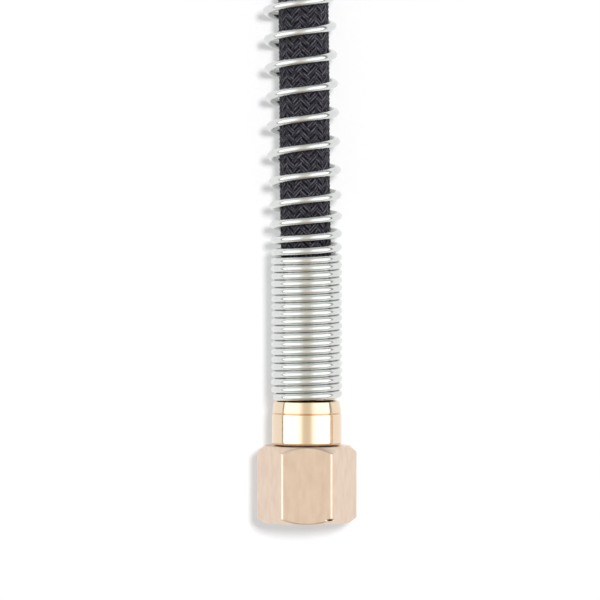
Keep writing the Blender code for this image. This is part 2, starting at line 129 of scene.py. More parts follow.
# Spring guard. Its pitches are rows of (turn, millimetres a turn)
WIRE_RADIUS = 0.75 * MM
GUARD_START = 24.524 * MM
GUARD_CLOSE_RADIUS = 6.22 * MM
GUARD_FLARE = 0.21 * MM
GUARD_LEAN = 1.60 * MM
GUARD_TILT = 0.38 * MM
GUARD_SAG = 1.24 * MM
GUARD_SAG_LENGTH = 44.0 * MM
GUARD_CLOSE_TURNS = 18.0
GUARD_OPENING_TURNS = 5.7
GUARD_PITCHES = [
    (-0.2, 1.475),
    (18.0, 1.475),
    (23.7, 5.63),
    (30.0, 5.63),
    (31.0, 1.5),
    (32.0, 1.5),
]
GUARD_STEPS_PER_TURN = 40
WIRE_SIDES = 12
WIRE_END_ANGLE = math.radians(60)  # edges that bend more than this are sharp: the cut ends only
END_LENGTH = 113.43 * MM

# Hose and its braid: yarns wound both ways, each over two and under two of the others
HOSE_DIAMETER = 9.7 * MM
HOSE_RADIUS = HOSE_DIAMETER / 2
CORE_RADIUS = 4.15 * MM
YARNS_EACH_WAY = 18
YARN_LIFT = 0.20 * MM
YARN_CROWN = 0.30 * MM
YARN_FILL = 0.96
YARN_REPEAT = 4.0  # crossings: over two, then under two
BRAID_TURN = math.radians(-24.5)
FILAMENTS = 2
YARN_PATTERN_STEP = 100.0  # sets each yarn's unevenness apart from the next one's
CORE_SPACING = 4.0 * MM

# How finely the braid is made: rows for each crossing, and points across a yarn
FREE_BRAID = (3, 5)
COILED_BRAID = (1, 3)

# Route of the hose. Its points are in millimetres: in the guard (along, to the right of the
# guard's axis, above it), and after it (to the right of the end's axis, along, height)
CAD_GUARD_LEAN = 1.25 * MM  # the guard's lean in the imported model, which the hose follows
RUN_START = 43.6 * MM
ROUTE_SPACING = 0.5 * MM
ROUTE_SOFTENING = 16  # points each way
HOSE_IN_GUARD = [
    (47.0, 0.0, 0.0),
    (54.0, -0.10, -0.05),
    (64.0, -0.10, -0.08),
    (76.0, 0.13, -0.15),
    (90.0, 0.42, -0.25),
    (104.0, 0.48, -0.28),
    (112.0, 0.45, -0.30),
]
NEAR_ROUTE = [
    (-0.60, 126.0, 5.95),
    (-0.30, 140.0, 5.15),
    (-0.08, 155.0, 5.00),
    (0.0, 165.0, 5.00),
    (0.0, 185.0, 4.95),
]
FAR_ROUTE = [
    (-0.60, 125.0, 7.40),
    (-0.35, 136.0, 9.00),
    (-0.15, 147.0, 10.75),
    (0.0, 157.0, 12.10),
    (0.0, 165.0, 12.60),
    (0.0, 185.0, 13.55),
]

# Coil: two layers of turns, wound inwards below and outwards on top
COIL_CENTRE_ALONG = 205.0 * MM
COIL_START_RADIUS = 70.0 * MM
COIL_CENTRE_X = COIL_START_RADIUS  # the coil starts on the near end's axis
TURN_PITCH = 10.0 * MM
COIL_LOWER_TURNS = 2.2
COIL_CLIMB_TURNS = 0.33
COIL_TURNS = 4.5
COIL_POINTS_PER_TURN = 90
COIL_HEIGHT = 4.95 * MM
LAYER_CLEARANCE = 0.15 * MM
LOWER_LAYER_MARGIN = 0.1  # turns after the lower layer's last that still carry the upper one
LEAST_RISE = 0.75  # of the upper layer over the lower one, in parts of the hose's thickness
STRAP_TURN = 0.25  # where the strap lies, in turns from the coil's start
STRAP_LIFT = 1.2 * MM
STRAP_THICKNESS = 0.64 * MM
STRAP_WIDTH = 9.0 * MM
STRAP_INSET = 0.25 * MM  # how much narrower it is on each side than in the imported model
STRAP_SLACK = 0.3 * MM
STRAP_STEP = 6  # degrees between the points of its outline

# Camera, set by the photograph: the size of its pixels, and the pixels where the near end's axis
# and the nut's open face are
PICTURE_SIZE = 600
PIXEL = 0.195 * MM
AXIS_PIXEL_X = 306.8
NUT_FACE_PIXEL_Y = 522.6
CAMERA_DISTANCE = 2500.0 * MM
CAMERA_LEAN = math.radians(2.5)
CAMERA_CLIP_START = 0.01
SENSOR_WIDTH = 36.0  # in millimetres

# Light, in parts of the plain level at which a colour renders as it is written
SUN_LEVEL = 0.70
SUN_DIRECTION = (0.16, 0.18, 1.0)
SUN_WIDTH = math.radians(9.0)
FILL_LEVEL = 0.36
FILL_TINT = (0.98, 0.99, 1.03)
FLOOR_HALF_WIDTH = 6.0
FLOOR_COLOUR = (0.60, 0.60, 0.605)
FLOOR_GLOW = 0.40
FLOOR_GLOW_IN_METAL = 0.40
PANEL_LIGHT = (1.94, 1.97, 2.03)
CEILING_LIGHT = (1.12, 1.12, 1.10)
CEILING_MIDDLE_LIGHT = (0.845, 0.79, 0.705)
FRONT_END_LIGHT = (0.36, 0.31, 0.26)
COIL_END_LIGHT = (0.50, 0.53, 0.56)
HORIZON_LIGHT = (0.28, 0.23, 0.20)

# Where one light of the room passes into the next, in parts of a direction of length 1: sideways
# for the ceiling and the panels, endways for the panels' length, the ends and the rim, then up
CEILING_SIDES = (0.05, 0.50)
PANEL_SIDES = (0.15, 0.62)
PANEL_ENDS = (0.52, 0.04)
FRONT_TO_COIL = (-0.5, 0.5)
WALL_ENDS = (0.45, 0.97)
RIM_ENDS = (0.5, 0.9)
RIM_TOP = (0.05, 0.14)

# Colours of the materials, and their shades as (place on the ramp, colour)
NUT_BRASS = (0.79, 0.63, 0.50)
NUT_SHADES = [(0.3, (0.755, 0.59, 0.46)), (0.7, (0.825, 0.67, 0.54))]
# painted shade for the nick, darkening the brass where the dent is deep
NICK_PAINTED_SHADE = (0.16, 0.10, 0.06)
FERRULE_BRASS = (0.84, 0.68, 0.50)
ZINC = (0.72, 0.735, 0.715)
ZINC_SHADES = [(0.3, (0.69, 0.705, 0.69)), (0.7, (0.75, 0.765, 0.74))]
CHARCOAL = (0.040, 0.036, 0.043)
# from the painted shade between filaments and at yarn edges up to the charcoal of a yarn's crown
CHARCOAL_TONES_AND_CREASE_SHADE = [(0.0, (0.006, 0.005, 0.008)), (1.0, (0.142, 0.136, 0.164))]
RUBBER = (0.008, 0.008, 0.009)
FIBRE = (0.30, 0.08, 0.06)
FIBRE_SHADES = [(0.35, (0.24, 0.060, 0.045)), (0.75, (0.40, 0.14, 0.10))]
WEBBING = (0.02, 0.02, 0.021)
WEBBING_SHADES = [(0.0, (0.010, 0.010, 0.011)), (1.0, (0.030, 0.030, 0.032))]
WHITE = (1.0, 1.0, 1.0)


def smoothstep(share):
    """A smooth step from 0 to 1 while the share goes from 0 to 1."""
    share = np.clip(share, 0.0, 1.0)
    return share * share * (3 - 2 * share)


def lower_of(a, b, rounding):
    """The lower of two heights, with a rounded change from one to the other."""
    share = np.clip(0.5 + 0.5 * (b - a) / rounding, 0, 1)
    return b + (a - b) * share - rounding * share * (1 - share)


def grid_faces(rows, columns, rows_closed=False, columns_closed=False):
    """Four-sided faces of a grid of points. A closed direction joins its last row to its first."""
    row = np.arange(rows if rows_closed else rows - 1)[:, None]
    column = np.arange(columns if columns_closed else columns - 1)[None, :]
    next_row = (row + 1) % rows
    next_column = (column + 1) % columns
    corners = [
        row * columns + column,
        next_row * columns + column,
        next_row * columns + next_column,
        row * columns + next_column,
    ]
    return np.stack(corners, axis=-1).reshape(-1, 4)


def make_mesh(name, points, faces, material, even_shading=False):
    """One smooth shaded mesh object."""
    mesh = bpy.data.meshes.new(name)
    places = np.asarray(points).reshape(-1, 3).tolist()
    mesh.from_pydata(places, [], [list(map(int, face)) for face in faces])
    mesh.shade_smooth()
    mesh.materials.append(material)
    piece = bpy.data.objects.new(name, mesh)
    bpy.context.scene.collection.objects.link(piece)
    if even_shading:
        piece.modifiers.new("flat faces stay flat", "WEIGHTED_NORMAL")
    return piece


def put_uv(piece, name, across, along):
    """Store two values of each point as a UV map for the materials."""
    mesh = piece.data
    corners = np.empty(len(mesh.loops), dtype=np.int32)
    mesh.loops.foreach_get("vertex_index", corners)
    layer = mesh.uv_layers.new(name=name)
    values = np.stack([across.ravel()[corners], along.ravel()[corners]], axis=-1)
    layer.uv.foreach_set("vector", values.ravel().astype(np.float32))


def at_end(points, end_x):
    """Move points from an end's own axis, with along 0 at its nut's face, to their place."""
    return points + np.array([end_x, FACE_Y, AXIS_HEIGHT])


def rounded(corners, steps=5):
    """An outline of (along, radius, rounding) corners, each rounded by its own size."""
    outline = []
    for i, (along, radius, size) in enumerate(corners):
        corner = Vector((along, radius))
        if size == 0:
            outline.append(tuple(corner))
            continue
        towards_last = (Vector(corners[i - 1][:2]) - corner).normalized() * size
        towards_next = (Vector(corners[(i + 1) % len(corners)][:2]) - corner).normalized() * size
        for step in range(steps + 1):
            share = step / steps
            offset = towards_last * (1 - share) ** 2 + towards_next * share**2
            outline.append(tuple(corner + offset))
    return outline


def turned(name, outline, end_x, material, segments=96):
    """A closed outline of (along, radius) turned round the end's axis."""
    along, radius = np.array(outline).T
    angle = math.tau * np.arange(segments) / segments
    points = np.stack(
        [
            radius[:, None] * np.sin(angle),
            np.repeat(along[:, None], segments, axis=1),
            radius[:, None] * np.cos(angle),
        ],
        axis=-1,
    )
    faces = grid_faces(len(outline), segments, rows_closed=True, columns_closed=True)
    return make_mesh(name, at_end(points, end_x), faces, material, even_shading=True)


def guard_along(turn):
    """Distance along of the guard's wire after these turns, from the sum of its pitches."""
    turns, pitches = np.array(GUARD_PITCHES).T
    pitch = np.interp(turn, turns, pitches) * MM
    steps = np.diff(turn) * (pitch[1:] + pitch[:-1]) / 2
    return GUARD_START + np.concatenate([[0.0], np.cumsum(steps)])


def guard_centre(along, lean):
    """Where a guard's own axis runs: it leans sideways and sags to the ground."""
    sideways = -lean * smoothstep((along - SLEEVE_END) / (END_LENGTH - SLEEVE_END))
    down = -GUARD_SAG * smoothstep((along - SLEEVE_END) / GUARD_SAG_LENGTH)
    return np.stack([sideways, along, down], axis=-1)


def unit(vectors):
    """The same directions with length 1."""
    return vectors / np.linalg.norm(vectors, axis=-1, keepdims=True)


def lengths_along(points):
    """How far along their line each of the points lies."""
    return np.concatenate([[0.0], np.cumsum(np.linalg.norm(np.diff(points, axis=0), axis=1))])


def guard_line(turn):
    """The middle of the guard's wire after these turns, and the way out from its axis there."""
    opened = smoothstep((turn - GUARD_CLOSE_TURNS) / GUARD_OPENING_TURNS)
    along = guard_along(turn) - GUARD_TILT * opened * (1 - np.cos(math.tau * turn))
    radius = GUARD_CLOSE_RADIUS + GUARD_FLARE * opened
    outwards = np.stack([np.sin(math.tau * turn), 0 * turn, np.cos(math.tau * turn)], axis=-1)
    return guard_centre(along, GUARD_LEAN) + outwards * radius[:, None], outwards


def make_guard(name, end_x, material):
    """A round wire wound right-handed, close over the ferrule and open over the hose."""
    first, last = GUARD_PITCHES[0][0], GUARD_PITCHES[-1][0]
    steps = round((last - first) * GUARD_STEPS_PER_TURN)
    middle, outwards = guard_line(first + np.arange(steps + 1) / GUARD_STEPS_PER_TURN)
    ahead = unit(np.gradient(middle, axis=0))
    sideways = unit(np.cross(ahead, outwards))
    outwards = np.cross(sideways, ahead)
    angle = math.tau * np.arange(WIRE_SIDES) / WIRE_SIDES
    ring = (
        outwards[:, None, :] * np.cos(angle)[None, :, None]
        + sideways[:, None, :] * np.sin(angle)[None, :, None]
    )
    points = middle[:, None, :] + ring * WIRE_RADIUS
    faces = grid_faces(steps + 1, WIRE_SIDES, columns_closed=True)[:, ::-1].tolist()
    faces.append(list(range(WIRE_SIDES)))
    faces.append(list(range(steps * WIRE_SIDES, (steps + 1) * WIRE_SIDES))[::-1])
    guard = make_mesh(name, at_end(points, end_x), faces, material)
    guard.data.set_sharp_from_angle(angle=WIRE_END_ANGLE)
    around = np.repeat((angle / math.tau)[None, :], steps + 1, axis=0)
    length = np.repeat(lengths_along(middle)[:, None], WIRE_SIDES, axis=1)
    put_uv(guard, "wire", around, length / MM)
    return guard


def hexagon_radius(angle):
    """Radius of the six flats at an angle from the upper flat's middle, with rounded corners."""
    flat = NUT_ACROSS_FLATS / 2
    off_middle = np.abs((angle + math.pi / 6) % (math.pi / 3) - math.pi / 6)
    own_flat = flat / np.cos(off_middle)
    next_flat = flat / np.cos(math.pi / 3 - off_middle)
    return lower_of(own_flat, next_flat, NUT_CORNER_ROUNDING)


def nut_angles():
    """Angles round the nut, closer together at its six corners."""
    sector = [-30.0] + [-step for step in reversed(CORNER_STEPS)] + [0.0] + CORNER_STEPS
    return np.radians([corner + step for corner in range(30, 390, 60) for step in sector])


def nick_share(along, angle):
    """How deep the nick in the front edge of the upper right corner is here, from 0 to 1."""
    off_along = (along - NICK_ALONG) / NICK_HALF_LENGTH
    off_around = (angle - NICK_ANGLE) * NUT_ACROSS_FLATS / 2 / NICK_HALF_WIDTH
    return np.exp(-(off_along**2) - off_around**4)


def nut_outside(angle, nick):
    """Rows of (along, radius) over the chamfered hexagon, from the open face to the back face."""
    face_radius = NUT_ACROSS_FLATS / 2 - NUT_FACE_INSET
    along = np.concatenate([CHAMFER_ROWS, MIDDLE_ROWS, NUT_LENGTH - CHAMFER_ROWS[::-1]])
    front = along * NUT_CHAMFER_RISE / NUT_CHAMFER_DEPTH
    back = (NUT_LENGTH - along) * NUT_CHAMFER_RISE / NUT_BACK_CHAMFER_DEPTH
    cone = (face_radius + np.minimum(front, back))[:, None]
    radius = lower_of(hexagon_radius(angle)[None, :], cone, NUT_EDGE_ROUNDING)
    if nick:
        radius = radius - NICK_DEPTH * nick_share(along[:, None], angle[None, :])
    front_edge = [(behind, face_radius - inside) for behind, inside in FACE_EDGE]
    back_edge = [(NUT_LENGTH - behind, rim) for behind, rim in reversed(front_edge)]
    return front_edge + list(zip(along, radius)) + back_edge


def nut_inside(angle):
    """Rows from the back hole over the floor, the relief and the thread to the mouth's chamfer."""
    floor = NUT_LENGTH - NUT_BACK_WALL
    thread_end = floor - NUT_RELIEF_WIDTH
    rows = [
        (NUT_LENGTH, NUT_HOLE_RADIUS + NUT_HOLE_EDGE),
        (NUT_LENGTH - NUT_HOLE_EDGE, NUT_HOLE_RADIUS),
        (floor, NUT_HOLE_RADIUS),
        (floor, NUT_RELIEF_RADIUS),
        (thread_end, NUT_RELIEF_RADIUS),
    ]
    count = round(thread_end / THREAD_PITCH * THREAD_ROWS_PER_PITCH)
    for along in np.linspace(thread_end, THREAD_START, count):
        phase = (along / THREAD_PITCH - angle / math.tau) % 1.0
        cut = np.clip((0.5 - np.abs(phase - 0.5)) / THREAD_FLANK, 0.0, 1.0)
        thread = THREAD_MINOR_RADIUS + THREAD_DEPTH * cut
        mouth = MOUTH_RADIUS - along * (MOUTH_RADIUS - THREAD_MINOR_RADIUS) / MOUTH_DEPTH
        rows.append((along, np.maximum(thread, mouth)))
    rows.append((0.0, MOUTH_RADIUS + MOUTH_EDGE))
    return rows


def make_nut(name, end_x, material, nick=False):
    """A chamfered hexagon with its thread inside, and the nick with shade painted into it where it has
    one.
    """
    angle = nut_angles()
    rows = nut_outside(angle, nick) + nut_inside(angle)
    ones = np.ones_like(angle)
    along = np.array([row[0] * ones for row in rows])
    radius = np.array([row[1] * ones for row in rows])
    points = np.stack([radius * np.sin(angle), along, radius * np.cos(angle)], axis=-1)
    faces = grid_faces(len(rows), len(angle), rows_closed=True, columns_closed=True)
    nut = make_mesh(name, at_end(points, end_x), faces, material, even_shading=True)
    if nick:
        outside = radius > NUT_ACROSS_FLATS / 2 - NICK_SKIN
        # painted shade in the nick: how deep the dent is here, on the outside only, kept as a UV map
        nick_shade = nick_share(along, angle[None, :]) * outside
        put_uv(nut, "nick", nick_shade, nick_shade)
    return nut


def make_gasket(name, end_x, material):
    """A flat ring in front of the stem's head."""
    corners = [
        (GASKET_FACE, GASKET_HOLE_RADIUS),
        (GASKET_FACE, HEAD_RADIUS),
        (GASKET_BACK, HEAD_RADIUS),
        (GASKET_BACK, GASKET_HOLE_RADIUS),
    ]
    outline = rounded([(*corner, INNER_EDGE) for corner in corners])
    return turned(name, outline, end_x, material)


def make_stem(name, end_x, material):
    """A tube with a head that holds the nut, a neck and a tail in the hose."""
    corners = [
        (HEAD_FACE, STEM_BORE_RADIUS),
        (HEAD_FACE, HEAD_RADIUS),
        (HEAD_BACK, HEAD_RADIUS),
        (HEAD_BACK, STEM_NECK_RADIUS),
        (STEM_NECK_END, STEM_NECK_RADIUS),
        (STEM_NECK_END, STEM_TAIL_RADIUS),
        (STEM_END, STEM_TAIL_RADIUS),
        (STEM_END, STEM_BORE_RADIUS),
    ]
    outline = rounded([(*corner, INNER_EDGE) for corner in corners])
    return turned(name, outline, end_x, material)


def make_ferrule(name, end_x, material):
    """Collar with a rounded front edge, groove, tapered neck and the sleeve under the guard."""
    groove_radius = COLLAR_RADIUS - GROOVE_DEPTH
    groove_middle = COLLAR_END + GROOVE_WIDTH / 2
    neck_start = COLLAR_END + GROOVE_WIDTH
    edge = FERRULE_EDGE
    outline = rounded(
        [
            (COLLAR_START, NUT_HOLE_RADIUS, edge),
            (COLLAR_START, COLLAR_RADIUS, COLLAR_ROUNDING),
            (COLLAR_END, COLLAR_RADIUS, edge),
            (groove_middle, groove_radius, edge / 2),
            (neck_start, NECK_START_RADIUS, edge),
            (SHOULDER, NECK_TOP_RADIUS, edge),
            (SHOULDER + SHOULDER_BEVEL, SHOULDER_BEVEL_RADIUS, edge),
            (SHOULDER + SHOULDER_BEVEL, SLEEVE_RADIUS, edge),
            (SLEEVE_END, SLEEVE_RADIUS, edge),
            (SLEEVE_END, SLEEVE_BORE_RADIUS, edge),
            (STEM_NECK_END, SLEEVE_BORE_RADIUS, 0),
            (STEM_NECK_END, NUT_HOLE_RADIUS, 0),
        ]
    )
    return turned(name, outline, end_x, material, segments=144)


def smooth_curve(knots, spacing, steps=40):
    """Evenly spaced points on a smooth curve through the knots (Catmull-Rom)."""
    knots = np.array(knots)
    padded = np.vstack([2 * knots[0] - knots[1], knots, 2 * knots[-1] - knots[-2]])
    share = np.linspace(0, 1, steps, endpoint=False)[:, None]
    stretches = []
    for before, first, second, after in zip(padded, padded[1:], padded[2:], padded[3:]):
        stretches.append(
            0.5
            * (
                2 * first
                + (second - before) * share
                + (2 * before - 5 * first + 4 * second - after) * share**2
                + (3 * first - before - 3 * second + after) * share**3
            )
        )
    return evenly(np.vstack(stretches + [knots[-1:]]), spacing)


def evenly(points, spacing):
    """The same line with its points at even spaces."""
    length = lengths_along(points)
    count = max(2, round(length[-1] / spacing) + 1)
    wanted = np.linspace(0, length[-1], count)
    return np.stack([np.interp(wanted, length, points[:, i]) for i in range(3)], axis=-1)


def run_knots(route):
    """Points of a free stretch relative to its end's x, from the ferrule to the coil."""
    knots = [(0.0, RUN_START, AXIS_HEIGHT)]
    for along, right, up in HOSE_IN_GUARD:
        x, y, z = guard_centre(np.array(along * MM), CAD_GUARD_LEAN)
        knots.append((x + right * MM, y, AXIS_HEIGHT + z + up * MM))
    knots += [(x * MM, along * MM, height * MM) for x, along, height in route]
    return knots


def turn_radius(turns):
    """Radius of the coil after these turns: it shrinks, turns back while it climbs, then grows."""
    climb = np.clip(turns - COIL_LOWER_TURNS, 0, COIL_CLIMB_TURNS)
    after = np.maximum(turns - COIL_LOWER_TURNS - COIL_CLIMB_TURNS, 0)
    inwards = np.minimum(turns, COIL_LOWER_TURNS + COIL_CLIMB_TURNS)
    turning_back = climb**2 / COIL_CLIMB_TURNS
    return COIL_START_RADIUS + TURN_PITCH * (turning_back - inwards + after)


def height_over_turns(turns):
    """How much higher a turn of the upper layer lies, resting on the lower turns next to it."""
    diameter = HOSE_DIAMETER + LAYER_CLEARANCE
    radius = turn_radius(turns)
    rest = np.zeros_like(turns)
    for lower_turn in range(math.ceil(COIL_LOWER_TURNS)):
        below = turns % 1.0 + lower_turn
        carries = below < COIL_LOWER_TURNS + LOWER_LAYER_MARGIN
        off = np.where(carries, radius - turn_radius(below), diameter)
        rest = np.maximum(rest, np.sqrt(np.maximum(diameter**2 - off**2, 0)))
    climbed = smoothstep((turns - COIL_LOWER_TURNS) / COIL_CLIMB_TURNS)
    return climbed * np.maximum(rest, LEAST_RISE * diameter)


def coil_points():
    """The wound turns, from the leftmost point of the lower layer to the far side of the upper."""
    turns = np.linspace(0, COIL_TURNS, round(COIL_TURNS * COIL_POINTS_PER_TURN) + 1)
    angle = math.pi - math.tau * turns
    radius = turn_radius(turns)
    lifted = STRAP_LIFT * np.maximum(np.sin(angle), 0) ** 2
    height = COIL_HEIGHT + lifted + height_over_turns(turns)
    x = COIL_CENTRE_X + radius * np.cos(angle)
    y = COIL_CENTRE_ALONG + radius * np.sin(angle)
    return np.stack([x, y, height], axis=-1)


def softened(points, reach):
    """The same even line with its heights and bends evened out over this many points each way."""
    weight = np.hanning(2 * reach + 1)
    weight /= weight.sum()
    before = 2 * points[0] - points[reach:0:-1]
    after = 2 * points[-1] - points[-2 : -reach - 2 : -1]
    padded = np.vstack([before, points, after])
    return np.stack([np.convolve(padded[:, i], weight, "valid") for i in range(3)], axis=-1)


def hose_route():
    """The hose's middle line from ferrule to ferrule."""
    coil = coil_points()
    near = run_knots(NEAR_ROUTE) + [tuple(coil[0])]
    far = run_knots(FAR_ROUTE)
    far_ending = [(x + FAR_X, y, z) for x, y, z in reversed(far)]
    line = np.vstack(
        [
            smooth_curve(near, ROUTE_SPACING)[:-1],
            evenly(coil, ROUTE_SPACING),
            smooth_curve([tuple(coil[-1])] + far_ending, ROUTE_SPACING)[1:],
        ]
    )
    line = softened(evenly(line, ROUTE_SPACING), ROUTE_SOFTENING)
    return line + np.array([0, FACE_Y, 0])


class HoseSurface:
    """Places on the hose: a length from the near ferrule, an angle from the top, and a radius."""

    def __init__(self, line):
        self.length = lengths_along(line)
        self.line = line
        ahead = unit(np.gradient(line, axis=0))
        self.right = unit(np.cross(ahead, [0, 0, 1]))
        self.up = np.cross(self.right, ahead)

    def at(self, values, length):
        return np.stack([np.interp(length, self.length, values[:, i]) for i in range(3)], axis=-1)

    def points(self, length, angle, radius):
        sideways = self.at(self.right, length) * (radius * np.sin(angle))[..., None]
        upwards = self.at(self.up, length) * (radius * np.cos(angle))[..., None]
        return self.at(self.line, length) + sideways + upwards


def yarn_height(place):
    """1 where a yarn lies over two others and -1 where it lies under two, at crossings passed."""
    off_top = np.abs((place + YARN_REPEAT / 2) % YARN_REPEAT - YARN_REPEAT / 2)
    return np.clip(2 * (1 - off_top), -1, 1)


def make_yarns(name, surface, first, last, way, fineness, material):
    """All the yarns that wind one way (1 or -1) round a stretch, between two crossing counts.

    Its fineness is a pair: rows for each crossing, and points across a yarn.
    """
    per_crossing, across_points = fineness
    spacing = math.tau * HOSE_RADIUS / YARNS_EACH_WAY
    crossing = spacing / 2
    width = spacing / math.sqrt(2) * YARN_FILL
    passed = first + np.arange((last - first) * per_crossing + 1) / per_crossing
    column = 2 * np.arange(YARNS_EACH_WAY)[:, None, None] + way * passed[None, :, None]
    share = np.linspace(-1, 1, across_points)[None, None, :]
    off = share * width / 2 / math.sqrt(2)
    length = passed[None, :, None] * crossing - way * off
    angle = BRAID_TURN + column * math.pi / YARNS_EACH_WAY + off / HOSE_RADIUS
    top = HOSE_RADIUS - YARN_LIFT / 2
    radius = top + YARN_LIFT * way * yarn_height(column - 0.5) - YARN_CROWN * share**2
    length, angle, radius = np.broadcast_arrays(length, angle, radius)
    points = surface.points(length, angle, radius)
    rows = len(passed)
    one_yarn = grid_faces(rows, across_points)[:, ::way]
    starts = np.arange(YARNS_EACH_WAY) * rows * across_points
    faces = (starts[:, None, None] + one_yarn[None]).reshape(-1, 4)
    yarns = make_mesh(name, points, faces, material)
    across_yarn = np.broadcast_to(0.5 + share / 2, length.shape)
    along_yarn = passed[None, :, None] + YARN_PATTERN_STEP * np.arange(YARNS_EACH_WAY)[:, None, None]
    put_uv(yarns, "yarn", across_yarn, np.broadcast_to(along_yarn, length.shape))
    return yarns


def make_core(line, material):
    """The hose's rubber tube under the braid, as one curve."""
    points = evenly(line, CORE_SPACING)
    curve = bpy.data.curves.new("hose_core", "CURVE")
    curve.dimensions = "3D"
    curve.bevel_depth = CORE_RADIUS
    curve.bevel_resolution = 4
    curve.use_fill_caps = True
    spline = curve.splines.new("POLY")
    spline.points.add(len(points) - 1)
    spline.points.foreach_set("co", np.hstack([points, np.ones((len(points), 1))]).ravel())
    curve.materials.append(material)
    core = bpy.data.objects.new("hose_core", curve)
    bpy.context.scene.collection.objects.link(core)
    return core


def strap_outline(grow):
    """Closed outline of (radius, height) that is pulled tight round the turns' sections."""
    turns = np.arange(STRAP_TURN, COIL_TURNS)
    height = COIL_HEIGHT + STRAP_LIFT + height_over_turns(turns)
    centres = np.stack([turn_radius(turns), height], axis=-1)
    outline = []
    for angle in np.radians(np.arange(0, 360, STRAP_STEP)):
        outwards = np.array([math.cos(angle), math.sin(angle)])
        furthest = centres[np.argmax(centres @ outwards)]
        outline.append(furthest + outwards * (HOSE_RADIUS + grow))
    return np.array(outline)


def make_strap(material):
    """A band round all the turns, at the side of the coil that lies furthest from the ends."""
    inside = strap_outline(STRAP_SLACK)
    outside = strap_outline(STRAP_SLACK + STRAP_THICKNESS)
    half = STRAP_WIDTH / 2 - STRAP_INSET
    loops = [(inside, -half), (outside, -half), (outside, half), (inside, half)]
    centre_y = COIL_CENTRE_ALONG + FACE_Y
    points = [
        [(COIL_CENTRE_X + side, centre_y + radius, height) for radius, height in loop]
        for loop, side in loops
    ]
    faces = grid_faces(len(loops), len(inside), rows_closed=True, columns_closed=True)
    return make_mesh("strap", points, faces, material)


def add_node(tree, kind, **values):
    """A shader node with some of its settings or input values."""
    node = tree.nodes.new(kind)
    for name, value in values.items():
        if hasattr(node, name):
            setattr(node, name, value)
        else:
            node.inputs[name.replace("_", " ")].default_value = value
    return node


def new_material(name, colour, roughness, metallic=0.0):
    """A material with its node tree and its main shader."""
    material = bpy.data.materials.new(name)
    material.use_nodes = True
    shader = material.node_tree.nodes["Principled BSDF"]
    shader.inputs["Base Color"].default_value = (*colour, 1.0)
    shader.inputs["Roughness"].default_value = roughness
    shader.inputs["Metallic"].default_value = metallic
    return material, material.node_tree, shader


def connect(tree, value, socket):
    """Feed a socket from another node, or give it a fixed number or colour."""
    if isinstance(value, bpy.types.NodeSocket):
        tree.links.new(value, socket)
    elif isinstance(value, tuple):
        socket.default_value = (*value, 1.0)
    else:
        socket.default_value = value


def calculate(tree, operation, *values):
    """An arithmetic operation on numbers or other nodes' outputs."""
    node = add_node(tree, "ShaderNodeMath", operation=operation)
    for value, socket in zip(values, node.inputs):
        connect(tree, value, socket)
    return node.outputs[0]


def ranged(tree, value, low, high, to_low=0.0, to_high=1.0):
    """A smooth step from one number to another while the value goes from low to high."""
    node = add_node(tree, "ShaderNodeMapRange", interpolation_type="SMOOTHSTEP")
    for number, socket in zip((value, low, high, to_low, to_high), node.inputs):
        connect(tree, number, socket)
    return node.outputs[0]


def blended(tree, share, first, second):
    """A colour between two others. The Mix node's sockets for colours go by number."""
    node = add_node(tree, "ShaderNodeMix", data_type="RGBA")
    share_socket, first_socket, second_socket = node.inputs[0], node.inputs[6], node.inputs[7]
    for value, socket in ((share, share_socket), (first, first_socket), (second, second_socket)):
        connect(tree, value, socket)
    return node.outputs[2]


def object_noise(tree, scale, stretch=(1, 1, 1), detail=3.0):
    """Noise that is fixed to the piece, with its scale in lumps a metre."""
    place = add_node(tree, "ShaderNodeTexCoord")
    mapping = add_node(tree, "ShaderNodeMapping")
    mapping.inputs["Scale"].default_value = stretch
    noise = add_node(tree, "ShaderNodeTexNoise", Scale=scale, Detail=detail)
    tree.links.new(place.outputs["Object"], mapping.inputs["Vector"])
    tree.links.new(mapping.outputs["Vector"], noise.inputs["Vector"])
    return noise.outputs["Fac"]


def ramp(tree, source, stops):
    """A colour ramp of (place, colour) stops over a value."""
    node = add_node(tree, "ShaderNodeValToRGB")
    elements = node.color_ramp.elements
    while len(elements) < len(stops):
        elements.new(0.5)
    for element, (place, colour) in zip(elements, stops):
        element.position = place
        element.color = (*colour, 1.0)
    tree.links.new(source, node.inputs["Fac"])
    return node.outputs["Color"]


def add_bump(tree, shader, height, distance, strength=1.0):
    """Give a surface the relief of a height."""
    bump = add_node(tree, "ShaderNodeBump", Distance=distance, Strength=strength)
    tree.links.new(height, bump.inputs["Height"])
    tree.links.new(bump.outputs["Normal"], shader.inputs["Normal"])


def pattern_places(tree, name):
    """The two values that a piece stores for its pattern: across and along it."""
    places = add_node(tree, "ShaderNodeUVMap", uv_map=name)
    split = add_node(tree, "ShaderNodeSeparateXYZ")
    tree.links.new(places.outputs["UV"], split.inputs["Vector"])
    return split.outputs["X"], split.outputs["Y"]


def pattern_noise(tree, across, along, across_scale, along_scale):
    """Noise over a piece's own pattern places, drawn out along it."""
    place = add_node(tree, "ShaderNodeCombineXYZ")
    connect(tree, calculate(tree, "MULTIPLY", across, across_scale), place.inputs["X"])
    connect(tree, calculate(tree, "MULTIPLY", along, along_scale), place.inputs["Y"])
    noise = add_node(tree, "ShaderNodeTexNoise", Scale=1.0, Detail=2.0)
    tree.links.new(place.outputs[0], noise.inputs["Vector"])
    return noise.outputs["Fac"]


